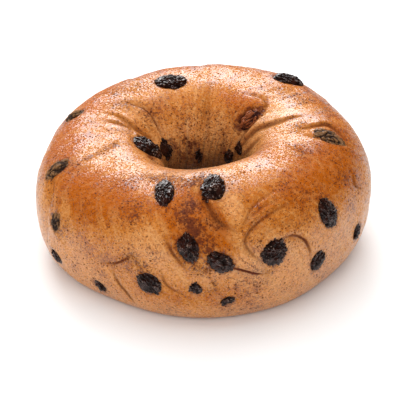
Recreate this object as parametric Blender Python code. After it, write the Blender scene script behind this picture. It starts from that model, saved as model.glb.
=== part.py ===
"""A hand-rolled raisin bagel that lies on its flat underside.

The bread is one solid ring with an open hole and a pocket for every raisin that reaches the crust.
Each raisin is a solid of its own, sunk into its pocket with a thin gap round it.
Lengths are in millimetres and angles in degrees until the meshes are written in metres.
A place on the ring is given by two angles: round the ring (0 = +X, anticlockwise from above) and
round its section (0 = outwards, 90 = up, 180 = into the hole, 270 = down).
"""
import math

import bmesh
import bpy
from mathutils import Matrix, Vector

MM = 0.001

# The ring.
OUTER_RADIUS = 55.2
HOLE_RADIUS = 11.8
HEIGHT = 44.2
WIDEST_LEVEL = 21.6      # height at which the section is widest
UNDER_DEPTH = 26.2       # depth of the section below that, before the board flattens it
BOARD_ROUNDING = 2.0     # how softly the side rolls into the flat underside
FULLNESS = 2.4           # power of the section's rounded outline: 2 is an ellipse, more is squarer

# Hand shaping: how many times round the ring, how much, and at what ring angle it is greatest.
OUTER_WAVES = ((2, 1.25, 7.0), (3, 0.27, -43.0), (4, 0.20, 9.0), (5, 0.64, -11.0), (7, 0.40, -3.0))
HOLE_WAVES = ((1, 1.07, -14.0), (2, 1.83, 5.0))
HEIGHT_WAVES = ((1, 2.24, 29.0), (2, 0.85, -76.0))

# Swells and hollows in the rolled dough: ring angle, section angle, reach along the ring,
# reach across it, and height (less than 0 for a hollow).
SWELLS = (
    (46.0, 122.0, 7.0, 6.0, 1.5),      # knob above the hole, where the dough's end was pressed in
    (20.0, 132.0, 5.0, 9.0, 0.9),      # fold that runs into the hole beside it
    (186.0, 148.0, 5.0, 6.0, 1.5),     # fold at the hole's left edge
    (160.0, 150.0, 3.5, 9.0, -1.2),    # furrow behind that fold
    (150.0, 124.0, 5.0, 8.0, -0.9),    # the same furrow where it runs out over the top
    (84.0, 152.0, 2.8, 13.0, -1.1),    # furrow down the hole's far wall
    (100.0, 150.0, 5.0, 11.0, 0.6),    # the rolls on each side of it
    (68.0, 150.0, 5.0, 11.0, 0.7),
    (236.0, 112.0, 8.0, 8.0, -0.9),    # low place in the front lip
    (278.0, 66.0, 4.0, 7.0, -1.1),     # hollow in front of the lip
    (271.0, 56.0, 4.0, 8.0, 0.8),      # fold beside the hollow
    (205.0, 20.0, 4.0, 12.0, -0.7),    # crease down the left side
    (95.0, 30.0, 9.0, 10.0, -0.8),     # the same hand shaping on the far side
    (60.0, 15.0, 10.0, 9.0, 0.7),
)

RING_STEPS = 64
SECTION_STEPS = 24
PROBE_ANGLE = 0.5        # step used to find the surface's direction at a place

# The raisins: ring angle, section angle, turn from the ring's direction towards the hole,
# length, width, and how far the top stands proud of the crust.
BARE_RAISINS = {
    "raisin_back_top": (111.0, 91.5, 150.0, 13.8, 9.4, 1.6),
    "raisin_back_right": (45.5, 71.0, 28.0, 11.6, 7.2, 1.9),
    "raisin_hole_edge": (181.5, 133.0, 65.0, 12.0, 9.0, 1.6),
    "raisin_hole_wall": (154.0, 155.5, 86.0, 8.4, 6.6, 1.2),
    "raisin_top_left": (251.0, 79.0, 110.0, 14.0, 7.2, 1.2),
    "raisin_top_middle": (275.5, 84.5, 80.0, 13.6, 8.8, 1.3),
    "raisin_shoulder_right": (320.0, 24.0, 112.0, 13.0, 8.0, 1.3),
    "raisin_front_right": (295.0, 12.0, 171.0, 12.2, 11.2, 1.3),
    "raisin_side_right": (313.5, -6.0, 103.0, 10.4, 8.4, 1.0),
    "raisin_front_middle": (276.0, 11.0, 149.0, 11.6, 7.4, 1.1),
    "raisin_front_upper": (265.0, 24.5, 109.0, 12.0, 8.4, 1.1),
    "raisin_front_left": (251.5, -7.0, 142.0, 12.4, 9.8, 1.1),
    "raisin_rear_shoulder": (74.0, 30.0, 20.0, 12.0, 7.6, 1.2),
    "raisin_rear_left": (132.0, 20.0, 75.0, 11.0, 7.4, 1.2),
    "raisin_rear_middle": (98.0, 4.0, 130.0, 10.6, 8.0, 1.1),
    "raisin_rear_right": (62.0, -6.0, 65.0, 11.2, 7.0, 1.1),
    "raisin_rear_low": (118.0, -20.0, 160.0, 9.6, 7.2, 0.9),
    "raisin_end_right": (28.0, 4.0, 40.0, 11.6, 7.6, 1.1),
}
SKINNED_RAISINS = {
    "raisin_knob": (34.0, 132.5, 70.0, 10.0, 6.4, 0.7),
    "raisin_top_right": (352.0, 76.5, 65.0, 14.4, 9.0, 0.8),
    "raisin_shoulder_left": (196.5, 51.5, 84.0, 12.0, 8.6, 0.7),
    "raisin_outline_left": (160.5, 57.5, 119.0, 9.6, 6.6, 0.7),
    "raisin_side_left": (211.5, 10.0, 76.0, 10.4, 7.0, 0.6),
    "raisin_side_far_left": (151.0, 8.0, 30.0, 11.0, 7.2, 0.7),
    "raisin_rear_high": (113.0, 31.0, 110.0, 11.4, 7.4, 0.6),
    "raisin_rear_side": (42.0, 22.0, 100.0, 10.2, 7.0, 0.6),
}
RAISIN_TIPS = {
    "raisin_tip_low_middle": (267.5, -6.0, 90.0, 6.6, 5.6, 0.6),
    "raisin_tip_low_front": (278.5, -18.5, 37.0, 6.6, 4.8, 0.5),
    "raisin_tip_side_right": (337.5, -8.0, 99.0, 7.8, 6.0, 0.8),
    "raisin_tip_low_left": (230.0, -27.5, 116.0, 7.2, 4.6, 0.5),
    "raisin_tip_side_left": (210.0, -19.0, 135.0, 7.0, 5.6, 0.6),
    "raisin_tip_hole_right": (47.0, 171.0, 80.0, 6.4, 4.8, 0.7),
    "raisin_tip_hole_lip": (31.0, 161.0, 120.0, 6.0, 4.6, 0.7),
    "raisin_tip_hole_back": (97.0, 171.0, 95.0, 6.6, 4.6, 0.6),
    "raisin_tip_rear": (146.0, -16.0, 110.0, 7.2, 5.6, 0.7),
}
RAISIN_FLATNESS = 0.78   # thickness as a share of the width
RAISIN_LOBE = 0.07       # depth of the lobes of the dried skin, as a share of the radius
RAISIN_PUCKER = 0.045    # depth of the finer puckers
RAISIN_SEGMENTS = 10
RAISIN_RINGS = 6
POCKET_GAP = 0.35

CRUST_COLOUR = (0.50, 0.20, 0.065, 1.0)
CRUST_ROUGHNESS = 0.42
RAISIN_COLOUR = (0.022, 0.011, 0.009, 1.0)
RAISIN_ROUGHNESS = 0.28
SKINNED_COLOUR = (0.17, 0.085, 0.03, 1.0)
SKINNED_ROUGHNESS = 0.40


def wave(ring, waves):
    """Sum of the hand-shaping waves at a ring angle in radians."""
    return sum(amount * math.cos(count * (ring - math.radians(crest))) for count, amount, crest in waves)


def rounded(value):
    """Raise a sine or cosine to the section's fullness and keep its sign."""
    return math.copysign(abs(value) ** (2.0 / FULLNESS), value)


def pressed(level):
    """Flatten the underside on the board: below it everything is at height 0."""
    if level > BOARD_ROUNDING:
        return level
    if level < -BOARD_ROUNDING:
        return 0.0
    return (level + BOARD_ROUNDING) ** 2 / (4.0 * BOARD_ROUNDING)


def plain_ring(ring, section):
    """Point of the ring before its swells and hollows; both angles in radians."""
    outer = OUTER_RADIUS + wave(ring, OUTER_WAVES)
    hole = HOLE_RADIUS + wave(ring, HOLE_WAVES)
    top = HEIGHT + wave(ring, HEIGHT_WAVES)
    radius = (outer + hole) / 2.0 + (outer - hole) / 2.0 * rounded(math.cos(section))
    lift = rounded(math.sin(section))
    level = WIDEST_LEVEL + (top - WIDEST_LEVEL if lift > 0.0 else UNDER_DEPTH) * lift
    return Vector((radius * math.cos(ring), radius * math.sin(ring), pressed(level)))


def facing(surface, ring, section):
    """Outward direction of a surface function at a place."""
    step = math.radians(PROBE_ANGLE)
    along = surface(ring + step, section) - surface(ring - step, section)
    across = surface(ring, section + step) - surface(ring, section - step)
    return along.cross(across).normalized()


SWELL_PLACES = [
    (plain_ring(math.radians(ring), math.radians(section)), math.radians(ring), along, across, height)
    for ring, section, along, across, height in SWELLS
]


def dough(ring, section):
    """Point of the finished ring, with its swells and hollows."""
    point = plain_ring(ring, section)
    rise = 0.0
    for centre, centre_ring, along, across, height in SWELL_PLACES:
        offset = point - centre
        tangent = Vector((-math.sin(centre_ring), math.cos(centre_ring), 0.0))
        run = offset.dot(tangent)
        side = (offset - tangent * run).length
        rise += height * math.exp(-((run / along) ** 2) - (side / across) ** 2)
    if point.z <= 0.0:
        return point
    return point + facing(plain_ring, ring, section) * rise


def material(name, colour, roughness):
    """One Principled finish."""
    made = bpy.data.materials.new(name)
    made.use_nodes = True
    shader = made.node_tree.nodes["Principled BSDF"]
    shader.inputs["Base Color"].default_value = colour
    shader.inputs["Roughness"].default_value = roughness
    shader.inputs["Metallic"].default_value = 0.0
    return made


def add_object(name, bm, finish):
    """Turn a bmesh in millimetres into a named, smooth object in metres."""
    bmesh.ops.scale(bm, vec=(MM, MM, MM), verts=bm.verts)
    mesh = bpy.data.meshes.new(name)
    bm.to_mesh(mesh)
    bm.free()
    mesh.shade_smooth()
    made = bpy.data.objects.new(name, mesh)
    bpy.context.scene.collection.objects.link(made)
    if finish:
        mesh.materials.append(material(name + "_finish", *finish))
    return made


def ring_bmesh():
    """The whole ring as a closed grid, once round the ring and once round its section."""
    bm = bmesh.new()
    grid = []
    for i in range(RING_STEPS):
        ring = 2.0 * math.pi * i / RING_STEPS
        grid.append([bm.verts.new(dough(ring, 2.0 * math.pi * j / SECTION_STEPS)) for j in range(SECTION_STEPS)])
    for i in range(RING_STEPS):
        here = grid[i]
        beyond = grid[(i + 1) % RING_STEPS]
        for j in range(SECTION_STEPS):
            k = (j + 1) % SECTION_STEPS
            bm.faces.new((here[j], beyond[j], beyond[k], here[k]))
    bmesh.ops.recalc_face_normals(bm, faces=bm.faces)
    return bm


def seat(ring, section, turn, width, proud):
    """Matrix of a raisin's own frame: X along it, Z out of the crust, centre below the crust."""
    ring = math.radians(ring)
    section = math.radians(section)
    turn = math.radians(turn)
    out = facing(dough, ring, section)
    tangent = Vector((-math.sin(ring), math.cos(ring), 0.0))
    tangent = (tangent - out * tangent.dot(out)).normalized()
    along = tangent * math.cos(turn) + out.cross(tangent) * math.sin(turn)
    centre = dough(ring, section) - out * (width * RAISIN_FLATNESS / 2.0 - proud)
    turned = Matrix((along, out.cross(along), out)).transposed().to_4x4()
    return Matrix.Translation(centre) @ turned


def raisin_bmesh(place, grow):
    """A dried grape: a flattened round with a few lobes along it and finer puckers, grown all round."""
    ring, section, turn, length, width, proud = place
    bm = bmesh.new()
    bmesh.ops.create_uvsphere(bm, u_segments=RAISIN_SEGMENTS, v_segments=RAISIN_RINGS, radius=1.0,
                              matrix=Matrix.Rotation(math.pi / 2.0, 4, "Y"))
    half = Vector((length / 2.0, width / 2.0, width * RAISIN_FLATNESS / 2.0))
    for vert in bm.verts:
        round_it = math.atan2(vert.co.z, vert.co.y)
        waist = 1.0 - vert.co.x ** 2
        lobes = RAISIN_LOBE * waist * math.cos(3.0 * round_it + ring)
        puckers = RAISIN_PUCKER * waist * math.cos(5.0 * round_it + 2.0 * vert.co.x + section)
        swell = 1.0 + lobes + puckers
        direction = vert.co.normalized()
        vert.co = Vector((vert.co.x * half.x, vert.co.y * half.y * swell, vert.co.z * half.z * swell))
        vert.co += direction * grow
    bm.transform(seat(ring, section, turn, width, proud))
    return bm


for old in list(bpy.data.objects):
    bpy.data.objects.remove(old)

bread = add_object("bread", ring_bmesh(), (CRUST_COLOUR, CRUST_ROUGHNESS))
pockets = bpy.data.collections.new("pockets")
bpy.context.scene.collection.children.link(pockets)
solids = [bread]

for raisins, finish in (
    (BARE_RAISINS, (RAISIN_COLOUR, RAISIN_ROUGHNESS)),
    (SKINNED_RAISINS, (SKINNED_COLOUR, SKINNED_ROUGHNESS)),
    (RAISIN_TIPS, (RAISIN_COLOUR, RAISIN_ROUGHNESS)),
):
    for name, place in raisins.items():
        solids.append(add_object(name, raisin_bmesh(place, 0.0), finish))
        cutter = add_object(name + "_pocket", raisin_bmesh(place, POCKET_GAP), None)
        cutter.hide_render = True
        cutter.display_type = "WIRE"
        bpy.context.scene.collection.objects.unlink(cutter)
        pockets.objects.link(cutter)

cut = bread.modifiers.new("raisin pockets", "BOOLEAN")
cut.operation = "DIFFERENCE"
cut.solver = "EXACT"
cut.operand_type = "COLLECTION"
cut.collection = pockets

# The part's origin is on the board, under the middle of everything.
corners = [vert.co for solid in solids for vert in solid.data.vertices]
middle = Vector((
    (min(co.x for co in corners) + max(co.x for co in corners)) / 2.0,
    (min(co.y for co in corners) + max(co.y for co in corners)) / 2.0,
    0.0,
))
for made in list(bpy.data.objects):
    made.data.transform(Matrix.Translation(-middle))
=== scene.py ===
"""A hand-rolled cinnamon raisin bagel, lying on a pale ground in soft studio light."""

import math

import bpy
import numpy as np
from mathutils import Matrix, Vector, noise


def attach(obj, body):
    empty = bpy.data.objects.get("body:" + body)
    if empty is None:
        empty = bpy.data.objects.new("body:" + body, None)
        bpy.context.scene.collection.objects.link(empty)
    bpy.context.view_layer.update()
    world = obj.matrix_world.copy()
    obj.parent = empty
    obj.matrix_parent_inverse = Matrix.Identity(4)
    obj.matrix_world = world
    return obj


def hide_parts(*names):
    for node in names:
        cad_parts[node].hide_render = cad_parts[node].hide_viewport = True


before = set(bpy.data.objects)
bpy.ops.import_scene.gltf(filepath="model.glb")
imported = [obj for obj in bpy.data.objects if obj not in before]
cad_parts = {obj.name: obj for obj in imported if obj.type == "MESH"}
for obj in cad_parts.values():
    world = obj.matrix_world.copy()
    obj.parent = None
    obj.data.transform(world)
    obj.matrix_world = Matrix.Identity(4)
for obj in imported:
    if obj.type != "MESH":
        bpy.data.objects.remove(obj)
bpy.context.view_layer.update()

# ---------------------------------------------------------------------------------------------
# The bread. Yeast dough with ground cinnamon, rolled out and pinched into a ring by hand, then
# boiled and baked: its crust is glossy and brown on top, paler at the sides and in the hole, and
# creased where the dough was twisted.
# ---------------------------------------------------------------------------------------------
# Lengths here are in millimetres. A place on the ring is an angle round it (0 = +X, anticlockwise
# from above) and an angle round its section (0 = outwards, 90 = up, 180 = into the hole).
# The ring's sizes repeat those of the CAD part, so both change together. The waves were fitted by
# a program: how many times round the ring, how much, and the ring angle where each is greatest.
MM = 0.001
OUTER_RADIUS = 55.2
HOLE_RADIUS = 11.8
HEIGHT = 44.2
WIDEST_LEVEL = 21.6
UNDER_DEPTH = 26.2
BOARD_ROUNDING = 2.0
FULLNESS = 2.4
OUTER_WAVES = ((2, 1.25, 7), (3, 0.27, -43), (4, 0.20, 9), (5, 0.64, -11), (7, 0.40, -3))
HOLE_WAVES = ((1, 1.07, -14), (2, 1.83, 5))
HEIGHT_WAVES = ((1, 2.24, 29), (2, 0.85, -76))
RING_CENTRE = np.array((-0.413, 0.222, 0.0))  # where centring the model put the ring's middle
RING_STEPS = 330
SECTION_STEPS = 150
FAR = 9.0  # no crease or raisin is felt from further off

# The share of a raisin's cut at the crust that the dough leaves bare.
USUALLY_SHOWING = 0.88
SHOWING = {
    "raisin_tip_hole_back": 0.3,
    "raisin_tip_hole_right": 0.36,
    "raisin_tip_hole_lip": 0.4,
    "raisin_tip_low_middle": 0.6,
    "raisin_tip_low_front": 0.8,
    "raisin_front_right": 0.83,
    "raisin_top_middle": 0.98,
}

# How far the dough dips at a raisin's rim, stands up just outside it, and drops away beneath it.
RIM_DIP = 0.35
COLLAR = 0.3
SEAT_DEPTH = 2.0

# Hand-made unevenness: the height of the lumps and how far apart they are.
LUMPS = ((0.34, 11.0), (0.16, 4.0), (0.06, 1.7))
LUMP_MIDDLE = 0.18

# Swells and hollows: ring angle, section angle, reach along the ring, reach across it, height.
SWELLS = (
    (46, 122, 7.0, 6.0, 1.5),
    (20, 132, 5.0, 9.0, 0.9),
    (186, 148, 5.0, 6.0, 1.5),
    (160, 150, 3.5, 9.0, -1.2),
    (150, 124, 5.0, 8.0, -0.9),
    (84, 152, 2.8, 13.0, -1.1),
    (100, 150, 5.0, 11.0, 0.6),
    (68, 150, 5.0, 11.0, 0.7),
    (236, 112, 8.0, 8.0, -0.9),
    (278, 66, 4.0, 7.0, -1.1),
    (271, 56, 4.0, 8.0, 0.8),
    (205, 20, 4.0, 12.0, -0.7),
    (95, 30, 9.0, 10.0, -0.8),
    (60, 15, 10.0, 9.0, 0.7),
)

# Creases and folds where the dough was twisted: places along each, then its half-width, its depth,
# how far the dough on its left stands up (less than 0: on its right), and how dark it is painted:
# a cinnamon line in its groove and painted shade beside it.
PATH_STEPS = 160
STEEP_SIDE = 0.65
GENTLE_SIDE = 1.9
LIP_REACH = 3.5
CREASES = (
    (((267, 90), (269, 80), (272, 67), (274, 56), (277, 46), (281, 38)), 1.3, 2.6, 2.2, 0.6),
    (((149, 88), (144, 98), (142, 114), (146, 132), (150, 148)), 0.8, 0.8, -0.3, 0.7),
    (((159, 89), (160, 100), (164, 114), (164, 126), (160, 138)), 0.8, 0.9, 0.5, 0.5),
    (((166, 91), (166, 100), (168, 114)), 0.7, 0.5, 0.3, 0.4),
    (((173, 116), (186, 124), (200, 137), (214, 150)), 1.0, 1.0, 0.7, 0.5),
    (((9, 95), (10, 112), (12, 124), (18, 138), (24, 151), (31, 165)), 0.7, 0.9, -0.6, 0.7),
    (((24, 120), (27, 140), (33, 155), (37, 172)), 0.8, 0.6, 0.4, 0.5),
    (((4, 135), (12, 153), (24, 168)), 0.6, 0.5, -0.3, 0.5),
    (((50, 110), (40, 107), (32, 110), (29, 119)), 0.6, 0.8, -0.5, 0.5),
    (((40, 142), (35, 131), (28, 122)), 1.0, 0.9, 0.3, 1.0),
    (
        ((306, 50), (297, 47), (289, 39), (285, 28), (286, 18), (289, 10), (292, 0)),
        1.1,
        0.8,
        -0.4,
        0.7,
    ),
    (((306, 28), (300, 33), (294, 31), (290, 24), (289, 16)), 0.8, 0.3, 0.2, 0.25),
    (((297, 22), (303, 21), (307, 14), (309, 6), (310, -2)), 0.8, 0.7, 0.3, 1.0),
    (((279, 7), (283, 3), (287, 0), (291, -1)), 1.4, 0.9, 0.3, 1.5),
    (((305, 68), (297, 64), (290, 57), (286, 45), (283, 33)), 1.2, 0.6, 0.3, 0.5),
    (((302, 57), (294, 54), (288, 47), (285, 38)), 0.9, 0.3, 0.2, 0.4),
    (((200, 44), (205, 30), (206, 14), (206, -4)), 1.0, 0.9, 0.5, 0.5),
    (((234, -2), (239, 0), (242, 4), (245, 10)), 0.8, 0.4, 0.2, 1.0),
    (((237, -4), (239, -15), (242, -25), (244, -33)), 0.7, 0.4, -0.2, 0.8),
    (((256, 1), (258, -6), (263, -12)), 0.8, 0.3, 0.2, 0.7),
    (((257, 30), (260, 18), (264, 7)), 0.8, 0.4, -0.2, 0.8),
    (((356, 95), (360, 87), (2, 77), (358, 68), (352, 55)), 0.7, 0.9, 0.5, 0.8),
    (((350, 93), (348, 84), (347, 72), (352, 52)), 0.7, 0.9, -0.6, 0.8),
    (((340, 38), (339, 28), (342, 19)), 0.8, 0.5, 0.2, 0.6),
    (((84, 100), (84, 122), (82, 145), (80, 168)), 0.9, 0.5, 0.2, 0.3),
    (((130, 60), (120, 45), (116, 25), (120, 2)), 0.9, 0.8, 0.5, 0.5),
    (((90, 62), (84, 44), (86, 20), (92, -8)), 0.8, 0.7, -0.4, 0.6),
    (((52, 60), (58, 40), (56, 18)), 0.9, 0.8, 0.4, 0.5),
    (((24, 40), (30, 24), (26, 2), (18, -14)), 0.8, 0.6, -0.4, 0.6),
    (((168, 22), (162, 12), (160, -6)), 0.8, 0.5, 0.2, 0.6),
)

# Cinnamon stains: places along each, its half-width, and its strength.
STAINS = (
    (((200, 78), (197, 90), (188, 102)), 1.6, 0.7),
    (((204, 71), (199, 66)), 3.0, 0.6),
    (((266, 66), (262, 56), (264, 47), (268, 40)), 3.2, 1.1),
    (((269, 34), (272, 27), (272, 22)), 3.4, 0.8),
    (((263, 78), (262, 68)), 2.4, 0.5),
    (((238, 92), (248, 94), (262, 90), (270, 96)), 4.0, 0.8),
    (((283, 88), (292, 92)), 3.0, 0.4),
    (((262, 30), (266, 12), (270, 6)), 2.6, 0.9),
    (((276, 42), (271, 50)), 1.6, 0.8),
    (((293, 3), (292, -8)), 1.8, 0.6),
    (((295, 6), (295, 3)), 2.0, 0.6),
    (((216, 12), (214, 4)), 3.0, 0.6),
    (((274, -3), (274, -8)), 1.6, 0.7),
    (((40, 140), (35, 130), (30, 120)), 3.0, 1.0),
    (((26, 86), (40, 90)), 4.0, 0.5),
    (((140, 78), (128, 84)), 4.0, 0.5),
    (((330, 84), (334, 90)), 3.0, 0.6),
    (((152, 88), (146, 96)), 3.0, 0.5),
    (((234, 88), (226, 80)), 4.0, 0.4),
    (((245, 8), (250, 0)), 3.0, 0.8),
    (((146, 148), (138, 162), (128, 170)), 1.5, 0.9),
    (((118, 156), (112, 172)), 1.4, 0.9),
    (((88, 118), (84, 140), (80, 162)), 1.0, 0.45),
    (((60, 150), (52, 168)), 1.6, 0.6),
    (((104, 160), (100, 176)), 1.4, 0.8),
    (((196, 58), (196, 44)), 4.0, 0.7),
    (((2, 96), (356, 100)), 3.0, 0.5),
    (((110, 40), (118, 26)), 4.0, 0.7),
    (((66, 20), (72, 2)), 3.4, 0.8),
    (((150, 30), (144, 12)), 3.0, 0.7),
    (((36, 12), (30, -8)), 3.0, 0.7),
    (((88, -10), (100, -16)), 2.4, 0.7),
)

# How brown the crust bakes round its section, and where it is browned more (or less) than that.
# Two of these patches are painted shade: along the bottom edge at the front, and between the
# front raisins.
BAKE_TURNS = (0, 12, 40, 65, 85, 105, 122, 150, 200, 300, 360)
BAKE_AMOUNTS = (0.12, 0.2, 0.6, 0.72, 0.5, 0.36, 0.5, 0.22, 0.0, 0.0, 0.12)
BROWNED_AND_SHADED = (
    (327, 106, 8.0, 6.0, 0.25),
    (249, 94, 8.0, 5.0, 0.25),
    (158, 73, 6.0, 7.0, 0.2),
    (14, 130, 3.0, 7.0, -0.4),
    (270, 58, 2.5, 8.0, 0.5),
    (198, 14, 3.5, 12.0, -0.15),
    (240, 2, 14.0, 7.0, 0.25),
    # Painted shade: darker along the bottom edge at the front, where the crust turns under.
    (266, -14, 32.0, 6.0, 0.5),
    (262, 62, 8.0, 9.0, 0.4),
    # Painted shade: darker in the front between the raisins.
    (277, 28, 5.0, 7.0, 0.45),
    (264, 30, 7.0, 9.0, 0.3),
    (222, 24, 7.0, 6.0, 0.1),
    (222, 56, 12.0, 11.0, 0.5),
    (184, 58, 13.0, 7.0, 0.45),
    (332, 66, 13.0, 10.0, 0.55),
    (302, 58, 9.0, 8.0, 0.05),
    (262, 40, 5.0, 9.0, 0.25),
    (276, 46, 3.0, 5.0, 0.5),
    (38, 128, 5.0, 5.0, 0.6),
    (115, 112, 14.0, 5.0, 0.1),
    (60, 116, 10.0, 5.0, 0.3),
    (252, 26, 8.0, 7.0, -0.5),
    (282, 60, 4.0, 7.0, -0.7),
    (150, 116, 3.5, 9.0, -0.2),
    (18, 128, 3.5, 9.0, -0.7),
    (296, 4, 12.0, 8.0, -0.4),
    (246, 100, 9.0, 5.0, -0.3),
    (100, 50, 14.0, 9.0, 0.4),
    (50, 46, 12.0, 9.0, 0.4),
    (140, 44, 12.0, 8.0, 0.35),
)


def wave(ring, waves):
    """Sum of the hand-shaping waves at ring angles in radians."""
    return sum(
        amount * np.cos(count * (ring - math.radians(crest))) for count, amount, crest in waves
    )


def rounded(value):
    """Sines or cosines raised to the section's fullness, with their sign kept."""
    return np.sign(value) * np.abs(value) ** (2.0 / FULLNESS)


def ring_surface(ring, section):
    """Points of the plain ring at arrays of ring and section angles in radians."""
    outer = OUTER_RADIUS + wave(ring, OUTER_WAVES)
    hole = HOLE_RADIUS + wave(ring, HOLE_WAVES)
    top = HEIGHT + wave(ring, HEIGHT_WAVES)
    radius = (outer + hole) / 2 + (outer - hole) / 2 * rounded(np.cos(section))
    lift = rounded(np.sin(section))
    level = WIDEST_LEVEL + np.where(lift > 0, top - WIDEST_LEVEL, UNDER_DEPTH) * lift
    rolled = (np.maximum(level, -BOARD_ROUNDING) + BOARD_ROUNDING) ** 2 / (4 * BOARD_ROUNDING)
    level = np.where(level > BOARD_ROUNDING, level, rolled)
    return np.stack((radius * np.cos(ring), radius * np.sin(ring), level), -1) + RING_CENTRE


def outward(ring, section):
    """Outward directions of the plain ring."""
    step = math.radians(0.5)
    along = ring_surface(ring + step, section) - ring_surface(ring - step, section)
    across = ring_surface(ring, section + step) - ring_surface(ring, section - step)
    direction = np.cross(along, across)
    return direction / np.linalg.norm(direction, axis=-1, keepdims=True)


def spline(values, steps):
    """A smooth run through a few rows of values."""
    spans = len(values) - 1
    where = np.linspace(0, spans, steps)
    span = np.minimum(where.astype(int), spans - 1)
    t = (where - span)[:, None]
    before = values[np.maximum(span - 1, 0)]
    start = values[span]
    end = values[span + 1]
    after = values[np.minimum(span + 2, spans)]
    curve = 2 * start + (end - before) * t
    curve += (2 * before - 5 * start + 4 * end - after) * t**2
    curve += (3 * start - before - 3 * end + after) * t**3
    return curve / 2


def beside(places, points, limit):
    """Points near a path on the ring, and how far each is along it, off it and to its left."""
    angles = np.radians(np.array(places, float))
    angles[:, 0] = np.unwrap(angles[:, 0])
    angles = spline(angles, PATH_STEPS)
    path = ring_surface(angles[:, 0], angles[:, 1])
    leftward = np.cross(outward(angles[:, 0], angles[:, 1]), np.gradient(path, axis=0))
    leftward /= np.linalg.norm(leftward, axis=1, keepdims=True)
    inside = (points > path.min(0) - limit) & (points < path.max(0) + limit)
    near = np.all(inside, axis=1).nonzero()[0]
    gaps = np.linalg.norm(points[near][:, None, :] - path[None], axis=2)
    nearest = gaps.argmin(1)
    left = np.einsum("ij,ij->i", points[near] - path[nearest], leftward[nearest])
    return near, nearest / (PATH_STEPS - 1), gaps.min(1), left


def patch(where, points):
    """How strongly points belong to a round patch: 1 at its middle, fading out by its reaches."""
    ring, section, along, across = where
    ring = math.radians(ring)
    centre = ring_surface(np.array(ring), np.array(math.radians(section)))
    offset = points - centre
    run = offset @ np.array((-math.sin(ring), math.cos(ring), 0.0))
    side = np.sqrt(np.maximum((offset**2).sum(1) - run**2, 0.0))
    return np.exp(-((run / along) ** 2) - (side / across) ** 2)


def raisin_lie(node, points):
    """A raisin's centre, long, wide and outward directions, half sizes and bare share."""
    corners = np.array([vert.co for vert in node.data.vertices])
    corners = np.unique(corners.round(7), axis=0) / MM
    centre = corners.mean(0)
    _, axes = np.linalg.eigh(np.cov((corners - centre).T))
    out, across, along = axes.T
    flat = (centre - RING_CENTRE) * (1, 1, 0)
    core = RING_CENTRE + flat / np.linalg.norm(flat) * (OUTER_RADIUS + HOLE_RADIUS) / 2
    core[2] = WIDEST_LEVEL
    out = out * np.sign(out @ (centre - core))
    half = [np.abs((corners - centre) @ axis).max() for axis in (along, across, out)]
    offset = points - centre
    above = offset @ out
    sideways = np.sqrt(np.maximum((offset**2).sum(1) - above**2, 0.0))
    crust_level = np.median(above[(sideways < 1.2) & (np.abs(above) < 2 * half[2])])
    cut = math.sqrt(max(1.0 - (crust_level / half[2]) ** 2, 0.2))
    return centre, along, across, out, half, SHOWING.get(node.name, USUALLY_SHOWING) * cut


def ring_place(mesh):
    """Ring and section angles of every vertex of the plain torus."""
    co = np.empty(len(mesh.vertices) * 3)
    mesh.vertices.foreach_get("co", co)
    x, y, z = co.reshape(-1, 3).T
    return np.arctan2(y, x), np.arctan2(z, np.hypot(x, y) - 1.0)


def rim_offset(lie, points):
    """Points near a raisin and how far each is outside the line where it meets the crust."""
    centre, along, across, _, half, bare = lie
    offset = points - centre
    near = ((offset**2).sum(1) < (half[0] + 6.0) ** 2).nonzero()[0]
    offset = offset[near]
    reach = np.hypot(offset @ along / half[0], offset @ across / half[1]) / bare
    return near, (reach - 1.0) * half[1] * bare


bpy.ops.object.select_all(action="DESELECT")
bpy.ops.mesh.primitive_torus_add(
    major_segments=RING_STEPS, minor_segments=SECTION_STEPS, major_radius=1.0, minor_radius=0.25
)
bread = bpy.context.object
bread.name = "bread_crust"
ring_angle, section_angle = ring_place(bread.data)
skin = ring_surface(ring_angle, section_angle)
raisins = {name: node for name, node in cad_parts.items() if name != "bread"}
lies = {name: raisin_lie(node, skin) for name, node in raisins.items()}

# The grid is halved where creases and raisins need finer dough.
busy = np.zeros(len(skin), bool)
for places, width, *_ in CREASES:
    near, _, off, _ = beside(places, skin, 3.0)
    busy[near[off < width + 0.9]] = True
for lie in lies.values():
    near, offset = rim_offset(lie, skin)
    busy[near[np.abs(offset) < 1.5]] = True
loops = np.empty(len(bread.data.loops), int)
bread.data.loops.foreach_get("vertex_index", loops)
chosen = busy[loops.reshape(-1, 4)].any(1)
bpy.ops.object.mode_set(mode="EDIT")
bpy.context.tool_settings.mesh_select_mode = (False, False, True)
bpy.ops.mesh.select_all(action="DESELECT")
bpy.ops.object.mode_set(mode="OBJECT")
bread.data.polygons.foreach_set("select", chosen)
bpy.ops.object.mode_set(mode="EDIT")
bpy.ops.mesh.subdivide(number_cuts=1, ngon=False)
bpy.ops.object.mode_set(mode="OBJECT")

ring_angle, section_angle = ring_place(bread.data)
skin = ring_surface(ring_angle, section_angle)
normal = outward(ring_angle, section_angle)
rise = np.zeros(len(skin))
for *where, height in SWELLS:
    rise += height * patch(where, skin)

rim_gap = np.full(len(skin), FAR)
for lie in lies.values():
    near, offset = rim_offset(lie, skin)
    rim_gap[near] = np.minimum(rim_gap[near], offset)
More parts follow.
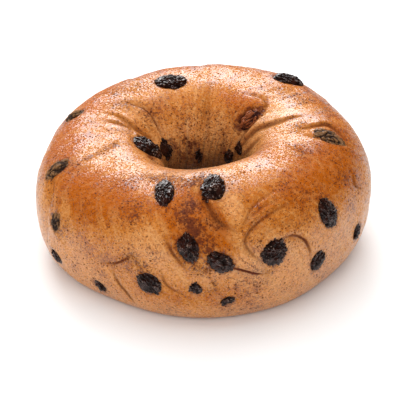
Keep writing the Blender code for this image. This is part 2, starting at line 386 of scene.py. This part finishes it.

# Each crease is a groove, steep under its lip and gentle on the other side. It fades out at its
# ends and at a raisin's rim, and the nearest one leaves its darkness (a cinnamon line and painted
# shade) and distance on the skin.
seam_dark = np.zeros(len(skin))
seam_gap = np.full(len(skin), FAR)
for places, width, depth, lip, darkness in CREASES:
    near, along, off, left = beside(places, skin, FAR)
    past_end = np.sqrt(np.maximum(off**2 - left**2, 0.0))
    taper = np.sin(np.pi * np.clip(along, 0.04, 0.96)) ** 0.6
    taper *= np.exp(-((past_end / (2 * width)) ** 2))
    raised = left * lip > 0
    groove = np.exp(-((left / np.where(raised, STEEP_SIDE * width, GENTLE_SIDE * width)) ** 2))
    risen = np.where(raised, abs(lip) * (1 - groove) * np.exp(-np.abs(left) / LIP_REACH), 0.0)
    rise[near] += taper * (risen - depth * groove) * np.clip(rim_gap[near] / 1.5, 0.0, 1.0)
    closer = (np.abs(left) < np.abs(seam_gap[near])) & (off < 4.0)
    seam_dark[near[closer]] = (taper * darkness)[closer]
    seam_gap[near[closer]] = left[closer]

stained = np.zeros(len(skin))
for places, width, strength in STAINS:
    near, _, off, _ = beside(places, skin, 3 * width)
    stained[near] = np.maximum(stained[near], strength * np.exp(-((off / width) ** 2)))

# Each raisin's seat.
for lie in lies.values():
    near, offset = rim_offset(lie, skin)
    collar = COLLAR * (1 - np.exp(-offset / 0.5)) * np.exp(-offset / 1.6)
    rise[near] -= RIM_DIP * np.exp(-((offset / 0.5) ** 2))
    rise[near] -= SEAT_DEPTH * np.clip(-offset / 0.9, 0.0, 1.0)
    rise[near] += np.where(offset > 0, collar, 0.0)

turned = np.degrees(section_angle) % 360
baked_and_shaded = np.interp(turned, BAKE_TURNS, BAKE_AMOUNTS)
for *where, amount in BROWNED_AND_SHADED:
    baked_and_shaded += amount * patch(where, skin)

# Down in the hole the dough is paler, and the shade down there is painted darker into its colour.
# Streaks flow round the ring with a slight twist.
in_hole = np.clip((turned - 122) / 30, 0.0, 1.0) * (turned < 270)
in_hole *= np.clip((37 - skin[:, 2]) / 17, 0.0, 1.0)
twisted = ring_angle + 0.35 * np.sin(section_angle)
flow = np.stack((28 * np.cos(twisted), 28 * np.sin(twisted), 3.5 * np.cos(section_angle)), 1)

lumps = np.array([
    sum(height * noise.noise(Vector(point / apart)) for height, apart in LUMPS) for point in skin
])
rise += (lumps - LUMP_MIDDLE) * np.clip(skin[:, 2] / 4.0, 0.0, 1.0)
skin = skin + normal * rise[:, None]
skin[:, 2] = np.maximum(skin[:, 2], 0.0)
bread.data.vertices.foreach_set("co", (skin * MM).ravel())
bpy.ops.object.shade_smooth()
for name, values in (
    ("bake", np.clip(baked_and_shaded, 0.0, 1.0)),
    ("seam", seam_dark),
    ("seam_left", seam_gap),
    ("stain", stained),
    ("rim", rim_gap),
    ("deep", in_hole),
):
    bread.data.attributes.new(name, "FLOAT", "POINT").data.foreach_set("value", values)
bread.data.attributes.new("flow", "FLOAT_VECTOR", "POINT").data.foreach_set("vector", flow.ravel())


class Signal:
    """One output of a finish's nodes, whose sums and products are written as plain Python."""

    def __init__(self, finish, socket):
        self.finish = finish
        self.socket = socket

    def __add__(self, other):
        return self.finish.add("Math", {"operation": "ADD"}, {0: self, 1: other})

    __radd__ = __add__

    def __sub__(self, other):
        return self.finish.add("Math", {"operation": "SUBTRACT"}, {0: self, 1: other})

    def __rsub__(self, other):
        return self.finish.add("Math", {"operation": "SUBTRACT"}, {0: other, 1: self})

    def __mul__(self, other):
        return self.finish.add("Math", {"operation": "MULTIPLY"}, {0: self, 1: other})

    __rmul__ = __mul__

    def __abs__(self):
        return self.finish.add("Math", {"operation": "ABSOLUTE"}, {0: self})

    def above(self, low, high):
        """0 below low, 1 above high and a smooth step between."""
        limits = {"Value": self, "From Min": low, "From Max": high}
        return self.finish.add("MapRange", {"interpolation_type": "SMOOTHSTEP"}, limits)


class Finish:
    """A new material and the one way in which its nodes are added."""

    def __init__(self, name):
        self.material = bpy.data.materials.new(name)
        self.material.use_nodes = True
        self.tree = self.material.node_tree
        self.shader = self.tree.nodes["Principled BSDF"]

    def fill(self, node, sockets):
        """Set or link a node's inputs by name or number."""
        for name, value in sockets.items():
            if isinstance(value, Signal):
                self.tree.links.new(value.socket, node.inputs[name])
            else:
                node.inputs[name].default_value = value

    def add(self, kind, settings, sockets, output=0):
        """A node of a kind with its settings and inputs; returns one of its outputs."""
        node = self.tree.nodes.new("ShaderNode" + kind)
        for name, value in settings.items():
            setattr(node, name, value)
        self.fill(node, sockets)
        return Signal(self, node.outputs[output])

    def grain(self, place, scale, detail=2.0):
        """Noise with a grain of 1 / scale metres."""
        return self.add("TexNoise", {}, {"Vector": place, "Scale": scale, "Detail": detail})

    def dots(self, place, scale, channel):
        """Cells 1 / scale metres wide: a number of each cell's own, and how far its middle is."""
        cells = {"Vector": place, "Scale": scale}
        colour = self.add("TexVoronoi", {}, cells, "Color")
        own_number = self.add("SeparateColor", {}, {"Color": colour}, channel)
        return own_number, self.add("TexVoronoi", {}, cells, "Distance")

    def painted(self, name):
        """The value painted on the piece's points under a name."""
        return self.add("Attribute", {"attribute_name": name}, {}, "Fac")

    def blend(self, amount, first, second):
        """Two colours mixed: the first at 0, the second at 1."""
        return self.add("Mix", {"data_type": "RGBA"}, {0: amount, 6: first, 7: second}, 2)


TAN = (0.67, 0.265, 0.070, 1)
GOLDEN = (0.54, 0.170, 0.018, 1)
ORANGE_BROWN = (0.41, 0.090, 0.001, 1)
PALE_DOUGH = (0.64, 0.36, 0.15, 1)
BROWN_GRIT = (0.30, 0.070, 0.006, 1)
PAINTED_HOLE_SHADE = (0.08, 0.022, 0.006, 1)
CINNAMON = (0.105, 0.024, 0.011, 1)
SPECK = (0.075, 0.018, 0.009, 1)

crust = Finish("crust")
place = crust.add("TexCoord", {}, {}, "Object")
flowing = crust.add("Attribute", {"attribute_name": "flow"}, {}, "Vector")
cloudy = crust.grain(place, 110.0, 4.0)
mottled = crust.grain(place, 620.0, 3.0)
fine = crust.grain(place, 1700.0, 2.0)
streaky = crust.grain(flowing, 0.55, 3.0)
bake = crust.painted("bake")
deep = crust.painted("deep")
stain = crust.painted("stain")
rim = crust.painted("rim")
seam = crust.painted("seam")
seam_away = abs(crust.painted("seam_left"))

# The bake: tan at the sides, golden, then orange brown on the shoulders, with paler streaks.
# Its map also holds painted shade along the bottom edge at the front and between the front
# raisins.
browned_and_shaded = bake + (cloudy - 0.5) * 0.8 + (mottled - 0.5) * 0.5 + (streaky - 0.5) * 0.4
tone = crust.blend(browned_and_shaded.above(0.0, 0.5), TAN, GOLDEN)
tone = crust.blend(browned_and_shaded.above(0.35, 0.95), tone, ORANGE_BROWN)
pale = streaky.above(0.50, 0.36) * (0.15 + deep * 0.5) + mottled.above(0.55, 0.35) * 0.15
tone = crust.blend(pale, tone, PALE_DOUGH)
grit = crust.grain(place, 1150.0, 3.0).above(0.40, 0.60)
tone = crust.blend((1 - grit) * 0.3, tone, BROWN_GRIT)
tone = crust.blend(grit * (1 - browned_and_shaded.above(0.2, 0.9)) * 0.18, tone, PALE_DOUGH)
# Painted shade: the colour darkens deep in the hole, and darker still in streaks there.
tone = crust.blend(deep.above(0.1, 0.9) * 0.8, tone, PAINTED_HOLE_SHADE)
shade_streaks = (0.5 - streaky).above(0.0, 0.12) * deep.above(0.0, 0.4)
tone = crust.blend(shade_streaks * 0.55, tone, PAINTED_HOLE_SHADE)

# The cinnamon: stains, dark rims round the raisins, dark creases, freckles, specks and dust. The
# rims and creases are partly cinnamon and partly painted shade where the crust dips.
dirty = stain * 0.9 + (fine - 0.5) * 2.0 + (mottled - 0.5) * 2.4 + (streaky - 0.5) * 1.6
tone = crust.blend(stain * 0.25 + dirty.above(0.45, 1.0) * 0.6, tone, CINNAMON)
# Dark rims round the raisins: partly cinnamon stain, partly painted shade where the crust meets
# the raisin.
rim_stain_and_shade = (rim * -0.45 + 0.95 + (mottled - 0.5) * 1.6).above(0.1, 1.1)
tone = crust.blend(rim_stain_and_shade * 0.72, tone, CINNAMON)
# A thin dark line in each groove and a broad soft darkening beside it: partly cinnamon, partly
# painted shade.
line = (0.75 - seam_away + (fine - 0.5) * 0.7).above(0.0, 0.6) * seam
crease_shade_and_smudge = (2.6 - seam_away + (mottled - 0.5) * 2.0).above(0.0, 2.6) * seam
tone = crust.blend(line * 0.75 + crease_shade_and_smudge * 0.22, tone, CINNAMON)
freckled = (fine - 0.5) * 2.2 + (cloudy - 0.5) * 2.0 + (mottled - 0.5) * 1.4
freckled = freckled.above(0.2, 0.8) * 0.55
tone = crust.blend(freckled, tone, CINNAMON)
shower = (cloudy - 0.5) * 0.6 + (streaky - 0.5) * 0.4 + stain * 0.25
own_size, from_middle = crust.dots(place, 1000.0, "Red")
speck = (own_size * 0.75 - 0.37 - from_middle + shower).above(0.0, 0.1)
tone = crust.blend(speck * 0.75, tone, SPECK)
own_size, from_middle = crust.dots(place, 1900.0, "Green")
dust = (own_size * 0.75 - 0.16 - from_middle + shower).above(0.0, 0.14)
tone = crust.blend(dust * 0.6, tone, SPECK)

# The glaze of the boiled skin lies in patches and misses the cinnamon, over a pebbled surface.
glaze = 0.95 - bake * 0.8 - stain * 0.6
glaze = glaze + (cloudy - 0.5) * 1.8 + (fine - 0.5) * 3.8 + (mottled - 0.5) * 1.2
glaze = glaze - (line + speck + freckled) * 0.9
pebble = fine * 1.1 + crust.grain(place, 3300.0, 1.0) * 0.7 + mottled * 0.5
pebble = pebble + speck * 0.1 - line * 0.4
bump = crust.add("Bump", {}, {"Height": pebble, "Strength": 1.0, "Distance": 0.00034})
crust.fill(
    crust.shader,
    {
        "Base Color": tone,
        "Normal": bump,
        "Roughness": 0.6,
        "Specular IOR Level": 0.05,
        "Coat Weight": glaze.above(0.2, 0.8),
        "Coat Roughness": 0.32,
    },
)
bread.data.materials.append(crust.material)
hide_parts("bread")
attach(bread, "root")

# ---------------------------------------------------------------------------------------------
# The raisins. Dried grapes rolled into the dough, baked in so that their tops stand just proud of
# the crust: nearly black, deeply wrinkled along their length, and sticky with their own sugar.
# The ones that a film of dough or torn skin covers are a dull olive brown.
# ---------------------------------------------------------------------------------------------
RAISIN_FINENESS = 6
SLIMMED = (0.96, 0.96, 1.0)
WRINKLE_SEED = 2
WRINKLE_GRAIN = (0.30, 0.55, 0.55)  # longer along the raisin than across it
WRINKLE_MIDDLE = 0.68
WRINKLE_DEPTH = 1.05
LIFTED = {"raisin_top_middle": 0.7}
UNDER_SKIN = (
    "raisin_knob",
    "raisin_top_right",
    "raisin_shoulder_left",
    "raisin_outline_left",
    "raisin_side_left",
    "raisin_side_far_left",
    "raisin_rear_high",
    "raisin_rear_side",
)

BLACK_SKIN = (0.009, 0.003, 0.002, 1)
BROWN_SKIN = (0.036, 0.009, 0.005, 1)
PAINTED_RIDGE_LIGHT = (0.07, 0.028, 0.016, 1)
PAINTED_GLINT = (0.50, 0.34, 0.26, 1)
OLIVE_SLIT = (0.022, 0.010, 0.006, 1)
OLIVE_RIDGE = (0.21, 0.098, 0.036, 1)
KNOB_SLIT = (0.03, 0.007, 0.005, 1)
KNOB_RIDGE = (0.24, 0.062, 0.018, 1)

raisin = Finish("raisin")
place = raisin.add("TexCoord", {}, {}, "Object")
mottled = raisin.grain(place, 600.0, 3.0)
fine = raisin.grain(place, 1900.0, 2.0)
ridge = raisin.painted("fold")
tone = raisin.blend(mottled.above(0.4, 0.7), BLACK_SKIN, BROWN_SKIN)
# Painted light: the ridges of the folds are lighter brown.
tone = raisin.blend((ridge + (fine - 0.5)).above(0.85, 1.25) * 0.5, tone, PAINTED_RIDGE_LIGHT)
# Painted glints: small light spots, most on the ridges, standing in for highlights.
painted_glints = (raisin.grain(place, 2000.0, 1.0) + (ridge - 0.6) * 0.3).above(0.66, 0.74)
tone = raisin.blend(painted_glints * 0.3, tone, PAINTED_GLINT)
relief = fine * 0.5 + mottled * 1.6
bump = raisin.add("Bump", {}, {"Height": relief, "Strength": 1.0, "Distance": 0.0005})
raisin.fill(
    raisin.shader,
    {
        "Base Color": tone,
        "Normal": bump,
        "Roughness": 0.4,
        "Specular IOR Level": 0.14,
        "Coat Weight": (mottled + fine).above(0.85, 1.2) * 0.7,
        "Coat Roughness": 0.12,
    },
)


def covered(name, slit, ridge, glaze):
    """A raisin's finish under a film of dough: one colour in its slits, one on its ridges, as
    painted shade and light.
    """
    finish = Finish(name)
    place = finish.add("TexCoord", {}, {}, "Object")
    mottled = finish.grain(place, 600.0, 3.0)
    fine = finish.grain(place, 1900.0, 2.0)
    lit = (finish.painted("fold") + (mottled - 0.5) * 1.6).above(0.3, 0.95)
    relief = fine + mottled
    bump = finish.add("Bump", {}, {"Height": relief, "Strength": 1.0, "Distance": 0.0003})
    finish.fill(
        finish.shader,
        {
            "Base Color": finish.blend(lit, slit, ridge),
            "Normal": bump,
            "Roughness": 0.6,
            "Specular IOR Level": 0.15,
            "Coat Weight": (fine + mottled * 0.5).above(0.7, 1.1) * glaze,
            "Coat Roughness": 0.18,
        },
    )
    return finish.material


def wrinkle(spot):
    """How high on the folds of the raisin's skin a spot lies: 0 in a slit, 1 on a ridge."""
    return min(abs(noise.noise(spot)) * 2.6, 1.0)


skinned = covered("raisin_under_skin", OLIVE_SLIT, OLIVE_RIDGE, 0.25)
knob = covered("raisin_in_knob", KNOB_SLIT, KNOB_RIDGE, 0.8)

noise.seed_set(WRINKLE_SEED)
for name, (centre, along, across, out, half, _) in lies.items():
    bpy.ops.object.select_all(action="DESELECT")
    bpy.ops.mesh.primitive_ico_sphere_add(subdivisions=RAISIN_FINENESS, radius=1.0)
    fruit = bpy.context.object
    fruit.name = name + "_fruit"
    ball = np.empty(len(fruit.data.vertices) * 3)
    fruit.data.vertices.foreach_get("co", ball)
    ball = ball.reshape(-1, 3) * SLIMMED
    fold = np.empty(len(ball))
    for index, local in enumerate(ball * half):
        spot = Vector(local * WRINKLE_GRAIN + centre)
        spot += noise.noise_vector(Vector(local * 0.30 + centre)) * 0.5
        fold[index] = wrinkle(spot) * 0.6 + wrinkle(spot * 2.3) * 0.4
    swell = 1.0 + (fold - WRINKLE_MIDDLE) * WRINKLE_DEPTH / np.linalg.norm(ball * half, axis=1)
    shape = (ball * half * swell[:, None]) @ np.array((along, across, out))
    shape = shape + centre + out * LIFTED.get(name, 0.0)
    fruit.data.vertices.foreach_set("co", (shape * MM).ravel())
    bpy.ops.object.shade_smooth()
    fruit.data.attributes.new("fold", "FLOAT", "POINT").data.foreach_set("value", fold)
    bpy.ops.object.mode_set(mode="EDIT")
    bpy.ops.mesh.select_all(action="SELECT")
    bpy.ops.mesh.normals_make_consistent(inside=False)
    bpy.ops.object.mode_set(mode="OBJECT")
    covering = knob if name == "raisin_knob" else skinned
    fruit.data.materials.append(covering if name in UNDER_SKIN else raisin.material)
    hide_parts(name)
    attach(fruit, "root")
    "raisin_under_skin" if name in UNDER_SKIN else "raisin"

# ---------------------------------------------------------------------------------------------
# The ground and the light: a sheet of white paper, a soft box over and behind the bagel, wide
# fills that only lighten it, a wide box that only makes the crust shine, and a bright room.
# ---------------------------------------------------------------------------------------------
PAPER_WHITE = (0.92, 0.92, 0.92, 1)
ROOM_BRIGHTNESS = 0.40

bpy.ops.object.select_all(action="DESELECT")
bpy.ops.mesh.primitive_plane_add(size=6.0, location=(0, 0, 0))
ground = bpy.context.object
ground.name = "ground"
paper = Finish("paper")
paper.fill(paper.shader, {"Base Color": PAPER_WHITE, "Roughness": 0.9})
ground.data.materials.append(paper.material)


def soft_box(name, turn, tilt, distance, width, depth, watts):
    """A rectangular area light that faces the bagel, turn degrees to the right of behind it."""
    turn = math.radians(turn)
    tilt = math.radians(tilt)
    level = math.cos(tilt)
    towards = Vector((math.sin(turn) * level, math.cos(turn) * level, math.sin(tilt)))
    data = bpy.data.lights.new(name, "AREA")
    data.shape = "RECTANGLE"
    data.size = width
    data.size_y = depth
    data.energy = watts
    lamp = bpy.data.objects.new(name, data)
    lamp.location = towards * distance
    lamp.rotation_euler = towards.to_track_quat("Z", "Y").to_euler()
    bpy.context.scene.collection.objects.link(lamp)
    return lamp


soft_box("window box", -12, 42, 0.80, 0.50, 0.50, 3.4)
for fill in (
    soft_box("top fill", 0, 82, 1.00, 1.00, 1.00, 7.5),
    soft_box("front fill", 180, 40, 1.20, 1.20, 1.00, 6.5),
    soft_box("left fill", -100, 25, 1.00, 0.80, 0.80, 1.5),
):
    fill.visible_glossy = False
shine = soft_box("shine box", -14, 28, 0.80, 0.80, 0.50, 7.8)
shine.visible_diffuse = False
world = bpy.data.worlds.new("bright room")
world.use_nodes = True
background = world.node_tree.nodes["Background"]
background.inputs["Color"].default_value = (1, 1, 1, 1)
background.inputs["Strength"].default_value = ROOM_BRIGHTNESS
world.cycles_visibility.glossy = False
bpy.context.scene.world = world
bpy.context.scene.view_settings.view_transform = "Standard"

# ---------------------------------------------------------------------------------------------
# The camera: a long lens in front of the bagel and 34 degrees up, about where a cook at the table
# looks from. Lengths are in metres, the lens and sensor in millimetres.
# ---------------------------------------------------------------------------------------------
CAMERA_ELEVATION = math.radians(34)
CAMERA_DISTANCE = 0.624
CAMERA_AIM = Vector((-0.0013, -0.0059, 0.0192))
LENS_LENGTH = 165.7
SENSOR_WIDTH = 36.0
away = Vector((0, -math.cos(CAMERA_ELEVATION), math.sin(CAMERA_ELEVATION)))
lens = bpy.data.cameras.new("camera")
lens.lens = LENS_LENGTH
lens.sensor_width = SENSOR_WIDTH
camera = bpy.data.objects.new("camera", lens)
camera.location = CAMERA_AIM + away * CAMERA_DISTANCE
camera.rotation_euler = away.to_track_quat("Z", "Y").to_euler()
bpy.context.scene.collection.objects.link(camera)
bpy.context.scene.camera = camera
